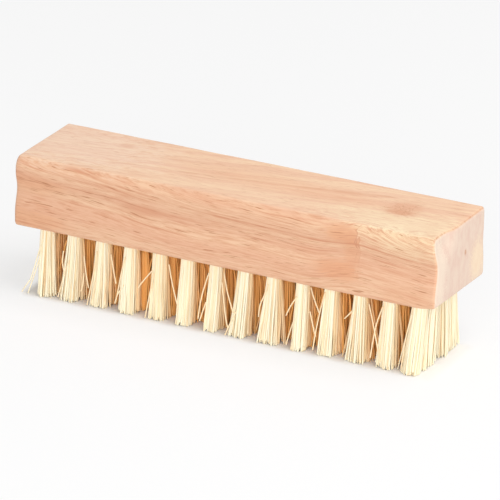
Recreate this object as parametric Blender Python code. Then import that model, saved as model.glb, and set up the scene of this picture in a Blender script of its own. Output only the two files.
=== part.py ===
"""Wooden nail brush: a moulded hardwood block and 56 fibre tufts, each folded over an anchor in its own hole.

The block's length runs along X and its width along Y. The trimmed ends of the fibres lie at Z = 0.
"""

import math
import random

import bmesh
import bpy
from mathutils import Matrix, Vector

# Wooden block, in metres
LENGTH = 0.120
WIDTH = 0.0290
BLOCK_HEIGHT = 0.0187
LOWER_EDGE_RADIUS = 0.0007
END_EDGE_RADIUS = 0.0006

# Moulded side: a finger cove between the lower flank and the lip, and a rounded shoulder above the lip
COVE_START = 0.0028
COVE_TOP = 0.0150
COVE_SKEW = 1.30
LIP_STEP = 0.0003

# The front is shaped for the fingers: a deeper cove, and a wide shoulder where the back has a small one
FRONT_COVE_DEPTH = 0.0009
FRONT_SHOULDER_DROP = 0.0032
FRONT_SHOULDER_RUN = 0.0023
BACK_COVE_DEPTH = 0.0004
BACK_SHOULDER_DROP = 0.0009
BACK_SHOULDER_RUN = 0.0007

# Tuft holes, drilled from the underside
COLUMNS = 14
ROWS = 4
END_MARGIN = 0.0067
SIDE_MARGIN = 0.0063
HOLE_DIAMETER = 0.0041
HOLE_DEPTH = 0.0098
DRILL_POINT_ANGLE = math.radians(118)

# Fibre tufts
BRISTLE_LENGTH = 0.0195
STRANDS = 8
TIP_TAPER = 0.5
TUFT_GAP = 0.0004
OUTER_REACH = 0.0042
SEED = 7

# How far alternate strands lean, as a share of the room towards the neighbouring tufts
SPLAY = (0.68, 0.95)
SPLAY_VARIATION = 0.14

# Flat wire anchor in the fold of each tuft
ANCHOR_HEIGHT = 0.0013
ANCHOR_THICKNESS = 0.0004
ANCHOR_BITE = 0.0006
ANCHOR_TURN = math.radians(45)

# Room between pieces that sit in each other
CLEARANCE = 0.0003

# Fineness of the curves
EDGE_STEPS = 3
COVE_STEPS = 10
SHOULDER_STEPS = 6
END_STEPS = 2
HOLE_SIDES = 16
FOLD_STEPS = 2

hole_radius = HOLE_DIAMETER / 2
plug_radius = hole_radius * math.cos(math.pi / HOLE_SIDES) - CLEARANCE
plug_facet = 2 * plug_radius * math.sin(math.pi / STRANDS)
anchor_inset = (plug_facet - ANCHOR_THICKNESS) / 2
column_pitch = (LENGTH - 2 * END_MARGIN) / (COLUMNS - 1)
row_pitch = (WIDTH - 2 * SIDE_MARGIN) / (ROWS - 1)


def clear_scene():
    for old in list(bpy.data.objects):
        bpy.data.objects.remove(old)


def finish(name, colour, roughness, metallic=0.0):
    """A plain material. The colour is sRGB, as a hex string."""
    material = bpy.data.materials.new(name)
    material.use_nodes = True
    shader = material.node_tree.nodes["Principled BSDF"]
    channels = [int(colour[i : i + 2], 16) / 255 for i in (0, 2, 4)]
    linear = [c / 12.92 if c <= 0.04045 else ((c + 0.055) / 1.055) ** 2.4 for c in channels]
    shader.inputs["Base Color"].default_value = (*linear, 1)
    shader.inputs["Roughness"].default_value = roughness
    shader.inputs["Metallic"].default_value = metallic
    return material


def new_object(name, bm, location=(0, 0, 0), material=None):
    """Turn a bmesh into an object with its faces pointing out."""
    bmesh.ops.recalc_face_normals(bm, faces=bm.faces)
    mesh = bpy.data.meshes.new(name)
    bm.to_mesh(mesh)
    bm.free()
    if material:
        mesh.materials.append(material)
    obj = bpy.data.objects.new(name, mesh)
    obj.location = location
    bpy.context.scene.collection.objects.link(obj)
    return obj


def tuft_places():
    """(row, column, x, y) of each tuft, row 1 at the front (-Y) and column 1 at the left (-X)."""
    for row in range(ROWS):
        for column in range(COLUMNS):
            x = -LENGTH / 2 + END_MARGIN + column * column_pitch
            y = -WIDTH / 2 + SIDE_MARGIN + row * row_pitch
            yield row + 1, column + 1, x, y


def side_profile(cove_depth, shoulder_drop, shoulder_run):
    """One side of the block's section, as (half width, height), from the underside up to the flat top."""
    flank = WIDTH / 2
    lip = flank - LIP_STEP
    lip_height = BLOCK_HEIGHT - shoulder_drop
    outline = []
    for step in range(EDGE_STEPS + 1):
        angle = math.pi / 2 * step / EDGE_STEPS
        inset = LOWER_EDGE_RADIUS * (1 - math.sin(angle))
        outline.append((flank - inset, LOWER_EDGE_RADIUS * (1 - math.cos(angle))))
    for step in range(COVE_STEPS + 1):
        t = step / COVE_STEPS
        scoop = cove_depth * math.sin(math.pi * t**COVE_SKEW) ** 2
        height = COVE_START + t * (COVE_TOP - COVE_START)
        outline.append((flank - t * LIP_STEP - scoop, height))
    for step in range(SHOULDER_STEPS + 1):
        angle = math.pi / 2 * step / SHOULDER_STEPS
        inset = shoulder_run * (1 - math.cos(angle))
        outline.append((lip - inset, lip_height + shoulder_drop * math.sin(angle)))
    return outline


def block_section(bm, x, inset):
    """The closed outline of the block at x, drawn in all round by inset."""
    back = side_profile(BACK_COVE_DEPTH, BACK_SHOULDER_DROP, BACK_SHOULDER_RUN)
    front = side_profile(FRONT_COVE_DEPTH, FRONT_SHOULDER_DROP, FRONT_SHOULDER_RUN)
    outline = back + [(-width, height) for width, height in reversed(front)]
    in_width = 1 - inset / (WIDTH / 2)
    in_height = 1 - inset / (BLOCK_HEIGHT / 2)
    middle = BLOCK_HEIGHT / 2
    return [bm.verts.new((x, y * in_width, middle + (z - middle) * in_height)) for y, z in outline]


def end_rounding():
    """(distance in from the end, inset) of each section in an eased end, from the end face inwards."""
    for step in range(END_STEPS + 1):
        angle = math.pi / 2 * step / END_STEPS
        yield END_EDGE_RADIUS * (1 - math.cos(angle)), END_EDGE_RADIUS * (1 - math.sin(angle))


def block_skin():
    """The block before drilling: its section carried along X, with the edges of both ends eased."""
    bm = bmesh.new()
    near_left = [(-LENGTH / 2 + back, inset) for back, inset in end_rounding()]
    near_right = [(-x, inset) for x, inset in reversed(near_left)]
    sections = [block_section(bm, x, inset) for x, inset in near_left + near_right]
    for left, right in zip(sections, sections[1:]):
        for i in range(len(left)):
            j = (i + 1) % len(left)
            bm.faces.new((left[i], left[j], right[j], right[i]))
    bm.faces.new(sections[0])
    bm.faces.new(sections[-1])
    return bm


def hole_cutter():
    """All the drill shapes in one mesh: each a cylinder that ends in the cone of the drill's point."""
    bm = bmesh.new()
    below = -2 * CLEARANCE
    point = HOLE_DEPTH + hole_radius / math.tan(DRILL_POINT_ANGLE / 2)
    profile = ((0, below), (hole_radius, below), (hole_radius, HOLE_DEPTH), (0, point))
    for _row, _column, x, y in tuft_places():
        corners = [bm.verts.new((x + radius, y, height)) for radius, height in profile]
        edges = [bm.edges.new(pair) for pair in zip(corners, corners[1:])]
        bmesh.ops.spin(
            bm,
            geom=corners + edges,
            cent=(x, y, 0),
            axis=(0, 0, 1),
            angle=math.tau,
            steps=HOLE_SIDES,
            use_merge=True,
        )
    bmesh.ops.remove_doubles(bm, verts=bm.verts, dist=0.00001)
    return bm


def anchor_top():
    """Height of the anchor's upper edge above the block's underside: where the fold of the tuft begins."""
    return HOLE_DEPTH - CLEARANCE - plug_radius


def slot_cutter():
    """All the slots that the anchors bite into the walls of their holes, in one mesh."""
    bm = bmesh.new()
    size = Vector(
        (
            HOLE_DIAMETER + 2 * (ANCHOR_BITE + CLEARANCE),
            ANCHOR_THICKNESS + 2 * CLEARANCE,
            ANCHOR_HEIGHT + 2 * CLEARANCE,
        )
    )
    height = anchor_top() - anchor_inset - ANCHOR_HEIGHT / 2
    for _row, _column, x, y in tuft_places():
        place = Matrix.Translation((x, y, height)) @ Matrix.Rotation(ANCHOR_TURN, 4, "Z")
        bmesh.ops.create_cube(bm, size=1, matrix=place @ Matrix.Diagonal((*size, 1)))
    return bm


def cut(target, name, cutter_bm):
    """Cut a mesh out of the target, and keep it as a wire guide that doesn't render."""
    cutter = new_object(name, cutter_bm, target.location)
    cutter.hide_render = True
    cutter.display_type = "WIRE"
    boolean = target.modifiers.new(name, "BOOLEAN")
    boolean.operation = "DIFFERENCE"
    boolean.solver = "EXACT"
    boolean.object = cutter


def build_block(wood):
    block = new_object("block", block_skin(), (0, 0, BRISTLE_LENGTH), wood)
    block.data.shade_smooth()
    block.data.set_sharp_from_angle(angle=math.radians(32))
    cut(block, "hole_cutter", hole_cutter())
    cut(block, "slot_cutter", slot_cutter())
    return block


def splay_strands(bm, slices, side, rng):
    """Draw each slice of the tuft's root down into a tapered strand that leans out from the axis.

    Every strand stays within its own slice of the circle, so no two cross, and the tips stay within
    the room that the tuft has between its neighbours. side is -1 for a tuft of the front row, 1 for
    one of the back row and 0 between them: an outer row has no neighbour on that side and fans out.
    """
    tip_size = TIP_TAPER * plug_radius / 2
    reach_x = (column_pitch - TUFT_GAP) / 2 - tip_size
    inner_reach = (row_pitch - TUFT_GAP) / 2 - tip_size
    tips = bmesh.ops.extrude_discrete_faces(bm, faces=slices)["faces"]
    for number, tip in enumerate(tips):
        middle = tip.calc_center_median()
        heading = middle.normalized()
        reach_y = OUTER_REACH - tip_size if heading.y * side > 0.01 else inner_reach
        room = 1 / max(abs(heading.x) / reach_x, abs(heading.y) / reach_y)
        lean = SPLAY[number % len(SPLAY)] * rng.uniform(1 - SPLAY_VARIATION, 1)
        end = heading * room * lean - Vector((0, 0, BRISTLE_LENGTH))
        for vert in tip.verts:
            vert.co = end + (vert.co - middle) * TIP_TAPER


def raise_rim(bm, height):
    """Extrude the open rim straight up to a height. Returns the faces of the new wall."""
    rim = [edge for edge in bm.edges if edge.is_boundary]
    made = bmesh.ops.extrude_edge_only(bm, edges=rim)["geom"]
    for vert in (item for item in made if isinstance(item, bmesh.types.BMVert)):
        vert.co.z = height
    return [item for item in made if isinstance(item, bmesh.types.BMFace)]


def fold_over(bm, across):
    """Close the top of the tuft as the round bend of fibres over the anchor. across is the anchor's line."""
    flatness = 1
    for step in range(1, FOLD_STEPS + 1):
        bend = math.pi / 2 * step / FOLD_STEPS
        raise_rim(bm, anchor_top() + plug_radius * math.sin(bend))
        for vert in (v for v in bm.verts if v.is_boundary):
            spot = Vector((vert.co.x, vert.co.y, 0))
            along = across * spot.dot(across)
            vert.co.xy = (along + (spot - along) * math.cos(bend) / flatness).xy
        flatness = math.cos(bend)
    bmesh.ops.remove_doubles(bm, verts=bm.verts, dist=0.00001)


def grow_anchor_ends(bm, wall, across):
    """Grow the two ends of the anchor out of the bundle's side, far enough to bite into the wood."""
    facing = sorted(wall, key=lambda f: f.calc_center_median().dot(across))
    for face, way in ((facing[-1], across), (facing[0], -across)):
        bmesh.ops.inset_individual(
            bm, faces=[face], thickness=anchor_inset, use_even_offset=True
        )
        end = bmesh.ops.extrude_discrete_faces(bm, faces=[face])["faces"][0]
        reach = hole_radius + ANCHOR_BITE - end.calc_center_median().dot(way)
        bmesh.ops.translate(bm, verts=end.verts, vec=way * reach)


def tuft(side, rng):
    """One tuft: eight splayed strands fused to a bundle that fills its hole, folded over an anchor."""
    bm = bmesh.new()
    half_slice = Matrix.Rotation(math.pi / STRANDS, 4, "Z")
    bmesh.ops.create_circle(
        bm, cap_ends=True, cap_tris=True, segments=STRANDS, radius=plug_radius, matrix=half_slice
    )
    slices = list(bm.faces)
    across = Vector((math.cos(ANCHOR_TURN), math.sin(ANCHOR_TURN), 0))
    raise_rim(bm, anchor_top() - ANCHOR_HEIGHT - 2 * anchor_inset)
    wall = raise_rim(bm, anchor_top())
    fold_over(bm, across)
    grow_anchor_ends(bm, wall, across)
    splay_strands(bm, slices, side, rng)
    return bm


def main():
    clear_scene()
    wood = finish("hardwood", "E3BC9A", 0.55)
    fibre = finish("tampico fibre", "F1DFA9", 0.5)
    brush = bpy.data.objects.new("nail_brush", None)
    bpy.context.scene.collection.objects.link(brush)
    pieces = [build_block(wood)]
    for row, column, x, y in tuft_places():
        rng = random.Random(SEED + row * COLUMNS + column)
        side = (row == ROWS) - (row == 1)
        name = f"tuft_row{row}_{column:02d}"
        pieces.append(new_object(name, tuft(side, rng), (x, y, BRISTLE_LENGTH), fibre))
    for piece in pieces:
        piece.parent = brush


main()
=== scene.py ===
"""Looks of a wooden nail brush: a moulded hardwood block, and fibre tufts folded over anchors."""

import math
import random
from functools import partial

import bpy
from mathutils import Matrix, Vector


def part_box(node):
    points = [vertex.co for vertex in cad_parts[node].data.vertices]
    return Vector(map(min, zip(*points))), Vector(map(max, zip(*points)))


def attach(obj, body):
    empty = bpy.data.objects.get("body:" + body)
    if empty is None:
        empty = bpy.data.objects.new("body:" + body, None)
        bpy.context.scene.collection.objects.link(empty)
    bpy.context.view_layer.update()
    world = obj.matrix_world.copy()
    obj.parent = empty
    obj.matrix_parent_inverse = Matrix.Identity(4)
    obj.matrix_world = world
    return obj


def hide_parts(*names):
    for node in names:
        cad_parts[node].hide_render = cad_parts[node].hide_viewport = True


bl_info = {
    "name": "Nail Brush",
    "version": (1, 0, 0),
    "blender": (4, 5, 0),
    "location": "3D View > Sidebar > Nail Brush",
    "description": "Dresses a nail brush: its hardwood block, fibre tufts, anchors and studio",
    "category": "Object",
}

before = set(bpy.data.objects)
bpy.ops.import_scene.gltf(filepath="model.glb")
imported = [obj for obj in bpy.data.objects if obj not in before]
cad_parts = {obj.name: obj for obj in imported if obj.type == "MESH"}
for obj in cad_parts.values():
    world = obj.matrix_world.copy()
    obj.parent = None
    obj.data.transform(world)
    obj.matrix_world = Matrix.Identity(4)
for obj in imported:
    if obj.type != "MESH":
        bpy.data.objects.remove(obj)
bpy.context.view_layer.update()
block_low, block_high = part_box("block")
mouth_height = block_low.z

# The studio camera, matched to the edges and corners of the block
CAMERA_PLACE = (0.63943, -1.2674, 0.59462)
CAMERA_AZIMUTH = 0.466689
CAMERA_ELEVATION = 0.385032
CAMERA_ROLL = 0.017442
CAMERA_LENS = 432.07

# Fineness of the curves
EDGE_STEPS = 6
COVE_STEPS = 36
SHOULDER_STEPS = 12
SECTION_SPACING = 0.003
DRILL_SIDES = 32
FIBRE_SIDES = 6
LEG_STEPS = 6
FOLD_STEPS = 2
STRAY_STEPS = 12

# Edges sharper than this stay creased
CREASE = math.radians(32)
# Half the angle of a drill's point
POINT_HALF_ANGLE = math.radians(59)
# Noise strays about a quarter each way from its middle, and this many times it strays about 1
FULL_SWING = 4.0
# How far each fibre of a bundle is turned from the last, and each tuft from the next, in half turns
GOLDEN_TURN = 0.618034
TUFT_TURN = 0.37
# Each tuft takes its clumps from another part of the noise
CLUMP_STEP = 7.31
# The trimmed tips end this far above the floor
TIP_CLEARANCE = 0.0001
# What the curves of the grain span, in mm along the block and in rise
GRAIN_LENGTH = 120.0
GRAIN_RISE = 20.0
# The seam's place along x in mm, from which the noise draws it back a little
SEAM_PLACE = 40.6
# Half the side of the floor, the side of each lamp, and the colour of the backdrop
FLOOR_REACH = 2.0
LAMP_SIZE = 0.7
WHITE = (1, 1, 1, 1)

# The tufts of the front row, in mm: how far their tips are shifted along the block, and half their spread
FRONT_TUFTS = (
    (0.5, 1.8), (-0.3, 2.1), (-0.1, 2.4), (0.1, 2.2), (0.2, 2.0), (-0.2, 1.8), (-0.5, 1.8),
    (-0.9, 2.1), (-0.5, 2.6), (0.1, 1.8), (-0.4, 2.1), (-0.2, 2.6), (-0.4, 2.1), (-0.9, 1.9),
)

# Single fibres that stand clear of the front row, from its tufts down. The points were listed from the
# photograph, but for the fourth fibre, which is drawn straighter than it is there. Each is in pixels: from
# the left side, and below the line of the block's lower front edge
STRAYS = (
    ((43, 8), (37.5, 27), (31, 50), (26, 58), (22, 68)),
    ((43, 12), (39, 30), (33, 50), (28, 68)),
    ((69, 25), (64, 40), (61, 52), (58, 63)),
    ((63.5, 16), (62.5, 25.5), (63, 32), (64.5, 37.5)),
    ((84, 17), (85.5, 30), (87, 40), (88.5, 48)),
    ((84, 34), (83, 45), (81, 53)),
    ((97, 10), (93, 35), (90, 50), (87, 65)),
    ((96, 40), (94, 50), (91, 63)),
    ((111, 10), (114, 28), (116, 38)),
    ((125, 10), (121, 28), (118.5, 42), (117, 50)),
    ((124, 38), (120, 44), (117, 50), (115, 58)),
    ((152, 18), (146, 26), (141, 33), (138, 38)),
    ((154, 20), (149, 45), (145, 66)),
    ((169, 8), (172, 25), (176, 42), (179, 52)),
    ((209, 8), (203, 28), (200, 42), (198, 56)),
    ((206, 38), (203, 47), (199.5, 58)),
    ((224, 5), (227, 22), (230, 33), (233, 43)),
    ((222, 15), (224, 35), (226, 52), (228, 60)),
    ((237, 40), (233, 48), (229, 57), (225, 67)),
    ((268, 8), (264, 20), (260, 30), (258.5, 42)),
    ((297, 14), (292, 22), (288, 30), (286, 35)),
    ((294, 38), (290, 50), (286, 64)),
    ((325, 4), (321, 20), (317, 38), (312.5, 64)),
    ((311, 2), (314, 12), (319, 25)),
    ((310, 26), (313, 40), (315.5, 50)),
    ((352, 17), (348, 22), (344.5, 26)),
    ((383, 6), (378, 20), (374.5, 34), (370, 60)),
    ((369, 6), (372, 20), (375, 35), (380, 62)),
    ((412, 8), (406, 32), (401, 64)),
)
# The photograph's side, and where the block's lower front edge lies in it: a point, and its fall per pixel
PHOTO_SIDE = 500
EDGE_POINT = (64.5, 234.95)
EDGE_FALL = 0.2057

# How the grain runs along the block: points (x, rise) in mm, high on the front and low on it
HIGH_GRAIN = (
    (-60, 5.5), (-46, 4.3), (-33, 3.1), (-20, 1.5), (-10, 0.7), (0, 0.0), (10, -0.4), (18, -0.6),
    (26, -1.1), (33, -0.8), (38, -0.2), (42, -1.0), (47, -2.2), (53, -3.4), (60, -3.9),
)
LOW_GRAIN = (
    (-60, 2.0), (-28, 0.7), (-14, 0.0), (14, -0.2), (26, -0.2), (31, 0.9), (36, 1.8), (45, 1.6), (60, 0.9),
)

# Parts of the block of another tone: colour, middle, radii (mm) and strength
WOOD_ZONES = (
    ("bleached", (-50, 2, 38.2), (30, 18, 4), 0.5),
    ("sapwood", (50, -7, 38.2), (28, 10, 4), 0.6),
    ("sapwood", (52, -13, 37.0), (17, 4, 6), 0.7),
    ("ruddy", (10, 2, 38.2), (36, 6, 3), 0.25),
    ("ruddy", (-57, -14, 31.5), (15, 4, 3), 0.4),
    ("ruddy", (-57, -14, 22), (15, 4, 3), 0.5),
    ("ruddy", (52, -14, 22), (9, 4, 3), 0.25),
    ("streak", (-23, -14, 30.3), (8, 4, 1.6), 0.5),
    ("streak", (-38.5, 6.7, 38.2), (2.8, 1.8, 3), 0.4),
    ("streak", (43, 2.2, 38.2), (5.5, 6.5, 4), 0.5),
    ("streak", (43, -0.4, 38.2), (4.5, 2.4, 4), 0.65),
)
# Ruddy wood that ends at the seam
SEAM_ZONES = (
    ("ruddy", (34.5, -14, 35.2), (6.5, 4, 2.8), 0.6),
    ("ruddy", (33, -14, 25.4), (8, 4, 2.9), 0.6),
    ("ruddy", (36.5, -14, 30.5), (3, 4, 5), 0.35),
)
END_ZONES = (
    ("end_pale", (60, -12, 29), (5, 4.5, 14), 0.8),
    ("sapwood", (60, 10, 25), (5, 5, 7), 0.5),
    ("pore", (60, 2.8, 29.7), (5, 0.7, 1.0), 0.7),
)
# Where the curled grain of the knot on the top shows, and the seam on the front: middle and radii (mm)
TOP_KNOT = ((43, 2.2, 38.2), (5.5, 6, 4))
FRONT_SEAM = ((38.3, -14, 33), (4, 4, 6.5))

# Dark lines along the growth layers: on the front or not, layer, half width, start and end in x, strength
WOOD_STREAKS = (
    (True, 39.9, 0.5, -48, 61, 1.0),
    (True, 36.6, 0.4, -35, 35, 0.8),
    (True, 35.6, 0.35, -6, 37, 0.5),
    (True, 29.9, 0.4, -29, -13, 0.8),
    (True, 29.9, 0.4, 12, 38, 0.8),
    (True, 28.0, 0.35, -52, -42, 0.7),
    (True, 25.9, 0.45, -63, -47, 1.0),
    (False, 37.9, 0.5, -40, 41, 0.6),
    (False, 34.1, 0.5, -27, -6, 0.5),
    (False, 38.4, 0.5, 44, 62, 0.5),
)

# Kinds of node that come often, what eases both ends of a range, and what makes a mix one of colours
RANGE = "ShaderNodeMapRange"
NOISE = "ShaderNodeTexNoise"
MIX = "ShaderNodeMix"
COMBINE = "ShaderNodeCombineXYZ"
SEPARATE = "ShaderNodeSeparateXYZ"
READ = "GeometryNodeInputNamedAttribute"
STORE = "GeometryNodeStoreNamedAttribute"
MOVE = "GeometryNodeSetPosition"
SWEEP = "GeometryNodeCurveToMesh"
SMOOTH = {"interpolation_type": "SMOOTHSTEP"}
COLOURS = {"data_type": "RGBA"}

# What a value given to a Geometry Nodes tree makes its input
SOCKETS = (
    (int, "NodeSocketInt"),
    (float, "NodeSocketFloat"),
    (tuple, "NodeSocketVector"),
    (bpy.types.Object, "NodeSocketObject"),
    (bpy.types.Material, "NodeSocketMaterial"),
)


def linear(hex_colour):
    """The linear colour of an sRGB hex string, with full alpha."""
    channels = [int(hex_colour[i : i + 2], 16) / 255 for i in (1, 3, 5)]
    return (*[c / 12.92 if c <= 0.04045 else ((c + 0.055) / 1.055) ** 2.4 for c in channels], 1)


def add(tree, kind, *values, out="", **settings):
    """Add a node, and give back its first output in use or the output named.

    Where out is None, or the node has no output, it gives back the node. A kind in capitals is the operation
    of a Math node, or after the word VECTOR that of a Vector Math node. The values fill the inputs in use in
    order, or by name where they come in a dictionary. Each is a plain value or a socket to link. The settings
    are the node's own, and decide which sockets are in use.
    """
    if kind.isupper():
        settings["operation"] = kind.removeprefix("VECTOR ")
        kind = "ShaderNodeVectorMath" if kind.startswith("VECTOR ") else "ShaderNodeMath"
    node = tree.nodes.new(kind)
    for name, setting in settings.items():
        setattr(node, name, setting)
    inputs, outputs = ([socket for socket in side if socket.enabled] for side in (node.inputs, node.outputs))
    if values and isinstance(values[0], dict):
        names = [socket.name for socket in inputs]
        inputs, values = [inputs[names.index(name)] for name in values[0]], values[0].values()
    for socket, value in zip(inputs, values):
        if isinstance(value, bpy.types.NodeSocket):
            tree.links.new(value, socket)
        else:
            socket.default_value = value
    if out is None or not outputs:
        return node
    return node.outputs[out] if out else outputs[0]


def number(name, description, default, least=0, **kind):
    return bpy.props.FloatProperty(name=name, description=description, default=default, min=least, **kind)


def metres(name, description, default):
    return number(name, description, default, unit="LENGTH", precision=5)


def colour(name, description, hex_colour):
    return bpy.props.FloatVectorProperty(
        name=name, description=description, subtype="COLOR", size=4, min=0, max=1, default=linear(hex_colour)
    )


class BlockSettings(bpy.types.PropertyGroup):
    """Sizes and colours of the hardwood block."""

    length: metres("Length", "Length of the block", block_high.x - block_low.x)
    width: metres("Width", "Width of the block over its lower flanks", block_high.y - block_low.y)
    height: metres("Height", "Thickness of the block", block_high.z - block_low.z)
    lower_edge: metres("Lower Edge", "Radius of the edge along the underside", 0.0007)
    end_edge: metres("End Edge", "Radius of the sanded edge round each end", 0.0009)
    cove_start: metres("Cove Start", "Height above the underside where the finger cove starts", 0.0028)
    cove_top: metres("Cove Top", "Height above the underside where the cove ends in the lip", 0.0150)
    cove_skew: number("Cove Skew", "How far the cove's deepest line sits above its middle", 1.3, least=1)
    front_cove: metres("Front Cove", "Depth of the finger cove along the front", 0.0009)
    back_cove: metres("Back Cove", "Depth of the finger cove along the back", 0.0004)
    lip_step: metres("Lip Step", "How far the lip stands in from the lower flank", 0.0003)
    front_drop: metres("Front Shoulder Height", "Height of the rounded shoulder along the front", 0.0032)
    front_run: metres("Front Shoulder Width", "Width of the rounded shoulder along the front", 0.0023)
    back_drop: metres("Back Shoulder Height", "Height of the small shoulder along the back", 0.0009)
    back_run: metres("Back Shoulder Width", "Width of the small shoulder along the back", 0.0007)
    hole_diameter: metres("Hole Diameter", "Diameter of the tuft holes", 0.0041)
    hole_depth: metres("Hole Depth", "Depth of the tuft holes, without the drill's point", 0.0098)
    unevenness: metres("Unevenness", "How far the sanding left the sides from true", 0.00005)
    wear: metres("Worn Corner", "How far the front corner of the right end is sanded back", 0.0012)
    foot_wear: metres("Worn Foot", "How far the lower front corner of the right end is sanded up", 0.0006)
    cream: colour("Cream Wood", "Early wood, the palest of the long grain", "#F3D0AE")
    pink: colour("Pink Wood", "Denser wood between the pale bands", "#ECC0A0")
    streak: colour("Streaks", "Dark lines along the growth layers", "#D99C78")
    pore: colour("Pores", "Open vessels, cut lengthways", "#BE7F52")
    ruddy: colour("Ruddy Wood", "Warm patches beside the knots", "#E6A67A")
    bleached: colour("Bleached Wood", "Greyer wood towards the left end", "#F3D9C4")
    sapwood: colour("Sapwood", "Yellowish wood at the front right", "#F7E2BC")
    # The side tint is partly the grain cut across and partly painted shade, for the sides catching less light
    # than the top
    side_tone_and_shade: colour("Side Tone", "Tint of the sides, which are cut across the layers", "#EEE6E2")
    end_grain: colour("End Grain", "Sawn and sanded ends", "#E2CCBA")
    end_flush: colour("End Mottling", "Pinkish mottling of the ends", "#DDC0AF")
    end_pale: colour("Pale End Band", "Band down the front edge of the ends", "#ECDAC6")


class TuftSettings(bpy.types.PropertyGroup):
    """Sizes and colours of the fibre tufts."""

    fibres: bpy.props.IntProperty(
        name="Fibres", description="Fibres in each tuft, every one folded in two", default=84, min=1
    )
    fibre_radius: metres("Fibre Radius", "Mean radius of a fibre", 0.00019)
    bundle_radius: metres("Bundle Radius", "Radius of the bundle in its hole", 0.00175)
    fold_height: metres("Fold Height", "Height of the anchor's upper edge above the hole's mouth", 0.00779)
    reach_along: metres("Reach Along", "Reach of the inner tufts' trimmed tips along the block", 0.0036)
    reach_across: metres("Reach Across", "Reach of the outer tufts' trimmed tips across the block", 0.0023)
    raggedness: metres("Raggedness", "How much shorter the shortest fibres are", 0.0012)
    clumping: metres("Clumping", "How far neighbouring fibres draw together at their tips", 0.0006)
    wave: metres("Wave", "How far a fibre bows out of its line", 0.00025)
    crowding: number("Crowding", "How much wider the inner side of an outer tuft spreads", 1.6, least=1)
    flare: number("Flare", "How late a tuft of an outer row opens on its way down", 1.2, least=0.3)
    inner_flare: number("Inner Flare", "How late a tuft of an inner row opens", 0.45, least=0.3)
    strays: number("Strays", "Share of fibres that stick out along the block", 0.12, max=1, subtype="FACTOR")
    pale: colour("Pale Fibre", "Lightest fibres", "#FFF8DE")
    straw: colour("Straw Fibre", "Most of the fibres", "#FFEFCB")
    amber: colour("Amber Fibre", "Darkest fibres", "#F6D196")
    # Painted light: the next two colours stand in for warm light passed through other strands, on the flanks
    # and deep in the brush
    flank: colour("Flank", "Fibres that face the next tuft", "#F8CF92")
    painted_glow: colour("Glow", "Fibres deep in the brush, lit through the others", "#FABA68")


class AnchorSettings(bpy.types.PropertyGroup):
    """Sizes and colour of the wire anchors."""

    height: metres("Height", "Height of the flat wire", 0.0013)
    thickness: metres("Thickness", "Thickness of the flat wire", 0.0004)
    bite: metres("Bite", "How far each end goes into the wood", 0.0006)
    turn: number("Turn", "Angle of the anchors to the block", math.radians(45), subtype="ANGLE")
    metal: colour("Metal", "Colour of the wire", "#C9B37A")


class StudioSettings(bpy.types.PropertyGroup):
    """Floor and lamps."""

    floor: colour("Floor", "Colour of the floor", "#F5F5F5")
    backdrop: number("Backdrop", "How far the floor is seen as white", 0.62, max=1, subtype="FACTOR")
    sky: number("Sky", "Strength of the light from all round", 0.49)
    key: number("Key", "Power of the large lamp above", 5.3, unit="POWER")
    front: number("Front", "Power of the low lamp in front", 6.7, unit="POWER")
    end: number("End", "Power of the low lamp on the right", 2.5, unit="POWER")


def hole_mouths():
    """The middle of each hole's mouth by row and node, read from the part of each CAD tuft in its hole."""
    rows = {}
    for name in sorted(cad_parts):
        if name.startswith("tuft_row"):
            inside = [v.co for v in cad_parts[name].data.vertices if v.co.z > mouth_height + 0.001]
            xs, ys = [co.x for co in inside], [co.y for co in inside]
            middle = ((min(xs) + max(xs)) / 2, (min(ys) + max(ys)) / 2, mouth_height)
            rows.setdefault(name.split("_")[1], {})[name] = middle
    return rows


def every_mouth():
    return [middle for holes in hole_mouths().values() for middle in holes.values()]


def guide_object(name, points, edges=()):
    """An object that only holds points and edges for a Geometry Nodes tree to work on."""
    mesh = bpy.data.meshes.new(name)
    mesh.from_pydata(points, edges, [])
    guide = bpy.data.objects.new(name, mesh)
    bpy.context.scene.collection.objects.link(guide)
    return guide


def camera_matrix():
    """Place and turn of the camera: its own axes while it is level, then rolled about its line of sight."""
    sine, cosine, flat = math.sin(CAMERA_AZIMUTH), math.cos(CAMERA_AZIMUTH), math.cos(CAMERA_ELEVATION)
    back = Vector((sine * flat, -cosine * flat, math.sin(CAMERA_ELEVATION)))
    right = Vector((cosine, sine, 0))
    level = Matrix((right, back.cross(right), back)).transposed()
    rolled = level @ Matrix.Rotation(CAMERA_ROLL, 3, "Z")
    return Matrix.Translation(CAMERA_PLACE) @ rolled.to_4x4()


def stray_points():
    """The points of the stray fibres, in the front face of the front row, and the steps between them."""
    at_mouth, further_at_tips, sensor, lowest = 0.0020, 0.0015, 36.0, 0.0001
    front = min(y for _x, y, _z in every_mouth())
    # The face leans out from the mouths to the tips. Its points p have across @ p equal to face
    across = Vector((0, 1, -further_at_tips / mouth_height))
    face = front - at_mouth - further_at_tips
    turn, place = camera_matrix().to_3x3(), Vector(CAMERA_PLACE)
    points, steps = [], []
    for line in STRAYS:
        steps += [(len(points) + i, len(points) + i + 1) for i in range(len(line) - 1)]
        for x, below in line:
            y = EDGE_POINT[1] + EDGE_FALL * (x - EDGE_POINT[0]) + below
            seen = Vector((x - PHOTO_SIDE / 2, PHOTO_SIDE / 2 - y, -PHOTO_SIDE * CAMERA_LENS / sensor))
            ray = turn @ seen
            point = place + ray * ((face - across.dot(place)) / across.dot(ray))
            points.append((point.x, point.y, max(point.z, lowest)))
    return points, steps


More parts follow.
